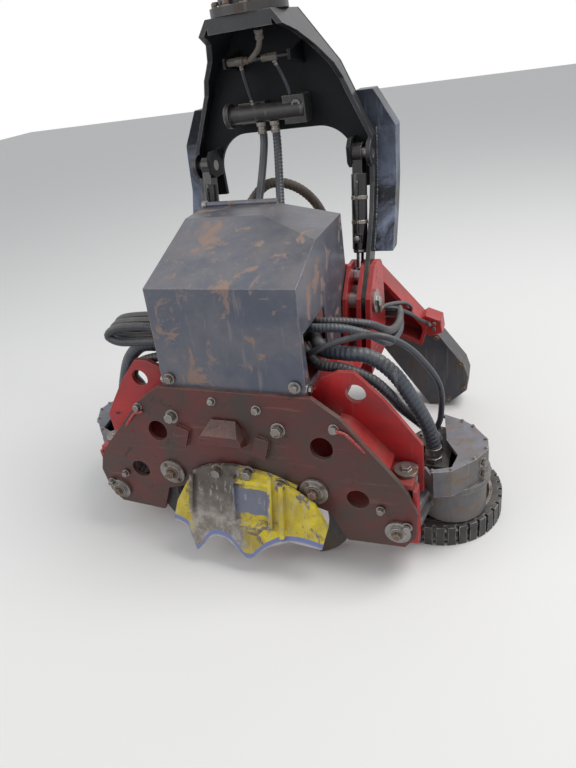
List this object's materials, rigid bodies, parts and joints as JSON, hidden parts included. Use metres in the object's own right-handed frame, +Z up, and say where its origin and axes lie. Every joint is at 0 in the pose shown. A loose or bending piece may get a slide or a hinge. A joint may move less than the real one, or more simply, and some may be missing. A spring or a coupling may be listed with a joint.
{
  "type": "forestry harvester head",
  "caption": "Tree harvester head with hinged tilt frame, lugged feed rollers on swinging arms, delimbing knives, hose cover, saw bar in its box, and rotator.",
  "frame": {"origin": "centre of the bounding box's footprint, on the ground the head rests on", "axes": "+X across the head towards the saw box's side, +Y along the head from the front knives to the saw, +Z up"},
  "size_m": [1.44, 1.0836, 1.715],
  "materials": {
    "red_paint": "worn, scratched",
    "dirty_red": "matt, muddy",
    "black_paint": "satin, worn edges",
    "cover_steel": "worn, streaked",
    "knife_yellow": "scraped",
    "dark_steel": "rough",
    "cast_grey": "rough cast",
    "bright_steel": "machined",
    "chrome": "polished",
    "saw_steel": "ground",
    "tread_black": "matt",
    "hose_rubber": "matt"
  },
  "bodies": {
    "chassis": {"main_frame": "red_paint", "front_plate": "dirty_red", "wing_plate_left": "red_paint", "wing_plate_right": "red_paint", "arm_pins": "bright_steel", "hose_cover": "cover_steel", "fixed_knife": "knife_yellow", "tilt_fork_left": "red_paint", "tilt_fork_right": "red_paint", "tilt_pivot_pins": "bright_steel", "saw_box": "dark_steel", "saw_bracket": "red_paint", "saw_motor": "dark_steel", "valve_block": "dark_steel", "front_pins": "bright_steel", "frame_deck": "red_paint", "wear_strips": "bright_steel", "hoses_left": "hose_rubber", "hoses_right": "hose_rubber", "arch_hoses": "hose_rubber", "top_hoses": "hose_rubber", "feed_hoses_left": "hose_rubber", "feed_hoses_right": "hose_rubber", "measuring_cheeks": "red_paint"},
    "measuring_arm": {"measuring_arm": "red_paint"},
    "measuring_wheel": {"measuring_wheel": "bright_steel"},
    "feed_arm_left": {"feed_motor_left": "dark_steel", "feed_arm_left": "cast_grey"},
    "feed_arm_right": {"feed_motor_right": "dark_steel", "feed_arm_right": "cast_grey"},
    "tilt_frame": {"tilt_hood": "black_paint", "tilt_back_plate": "black_paint", "tilt_eye_pins": "bright_steel", "tilt_leg_left": "black_paint", "tilt_leg_right": "black_paint", "hood_cross_tube": "dark_steel"},
    "tilt_barrel_left": {"tilt_barrel_left": "black_paint"},
    "tilt_barrel_right": {"tilt_barrel_right": "black_paint"},
    "tilt_rod_left": {"tilt_rod_left": "chrome"},
    "tilt_rod_right": {"tilt_rod_right": "chrome"},
    "knife_left": {"knife_left": "dark_steel"},
    "knife_right": {"knife_right": "dark_steel"},
    "roller_left": {"roller_rim_left": "bright_steel", "roller_tread_left": "tread_black"},
    "roller_right": {"roller_rim_right": "bright_steel", "roller_tread_right": "tread_black"},
    "saw_bar": {"saw_bar": "saw_steel"},
    "rotator": {"rotator": "dark_steel"}
  },
  "joints": [
    {"name": "tilt", "type": "hinge", "parent": "chassis", "child": "tilt_frame", "pos_m": [0, 0.0418, 0.639], "axis": [1, 0, 0], "range_deg": [-10, 90], "deforming": ["top_hoses"]},
    {"name": "tilt_barrel_left_swing", "type": "hinge", "parent": "tilt_frame", "child": "tilt_barrel_left", "pos_m": [-0.256, 0.2068, 1.045], "axis": [1, 0, 0], "range_deg": [-2, 4]},
    {"name": "tilt_rod_left_slide", "type": "slide", "parent": "tilt_barrel_left", "child": "tilt_rod_left", "axis": [0, -0.2329, -0.9725], "range_m": [-0.016, 0.136]},
    {"name": "knife_left_swing", "type": "hinge", "parent": "chassis", "child": "knife_left", "pos_m": [-0.232, -0.4092, 0.272], "axis": [0, 1, 0], "range_deg": [-50, 38]},
    {"name": "feed_arm_left_swing", "type": "hinge", "parent": "chassis", "child": "feed_arm_left", "pos_m": [-0.478, -0.3682, 0.2], "axis": [0, 0, 1], "range_deg": [-55, 3], "deforming": ["feed_hoses_left"]},
    {"name": "roller_left_spin", "type": "hinge", "parent": "feed_arm_left", "child": "roller_left", "pos_m": [-0.524, -0.1192, 0.05], "axis": [0, 0, 1], "continuous": true},
    {"name": "tilt_barrel_right_swing", "type": "hinge", "parent": "tilt_frame", "child": "tilt_barrel_right", "pos_m": [0.256, 0.2068, 1.045], "axis": [1, 0, 0], "range_deg": [-2, 4]},
    {"name": "tilt_rod_right_slide", "type": "slide", "parent": "tilt_barrel_right", "child": "tilt_rod_right", "axis": [0, -0.2329, -0.9725], "range_m": [-0.016, 0.136]},
    {"name": "knife_right_swing", "type": "hinge", "parent": "chassis", "child": "knife_right", "pos_m": [0.232, -0.4092, 0.272], "axis": [0, 1, 0], "range_deg": [-38, 50]},
    {"name": "feed_arm_right_swing", "type": "hinge", "parent": "chassis", "child": "feed_arm_right", "pos_m": [0.478, -0.3682, 0.2], "axis": [0, 0, 1], "range_deg": [-3, 55], "deforming": ["feed_hoses_right"]},
    {"name": "roller_right_spin", "type": "hinge", "parent": "feed_arm_right", "child": "roller_right", "pos_m": [0.524, -0.1192, 0.05], "axis": [0, 0, 1], "continuous": true},
    {"name": "saw_bar_swing", "type": "hinge", "parent": "chassis", "child": "saw_bar", "pos_m": [0.2, 0.4918, 0.47], "axis": [0, 1, 0], "range_deg": [0, 85]},
    {"name": "measuring_arm_swing", "type": "hinge", "parent": "chassis", "child": "measuring_arm", "pos_m": [0, 0.1318, 0.205], "axis": [1, 0, 0], "range_deg": [-12, 10]},
    {"name": "measuring_wheel_spin", "type": "hinge", "parent": "measuring_arm", "child": "measuring_wheel", "pos_m": [0, 0.2468, 0.128], "axis": [1, 0, 0], "continuous": true},
    {"name": "rotator_spin", "type": "hinge", "parent": "tilt_frame", "child": "rotator", "pos_m": [0, 0.1418, 1.5], "axis": [0, 0, 1], "continuous": true}
  ],
  "couplings": [
    {"joint": "tilt_barrel_left_swing", "follows": "tilt", "ratio": 0.03},
    {"joint": "tilt_rod_left_slide", "follows": "tilt", "m_per_rad": 0.0855},
    {"joint": "tilt_barrel_right_swing", "follows": "tilt", "ratio": 0.03},
    {"joint": "tilt_rod_right_slide", "follows": "tilt", "m_per_rad": 0.0855}
  ]
}
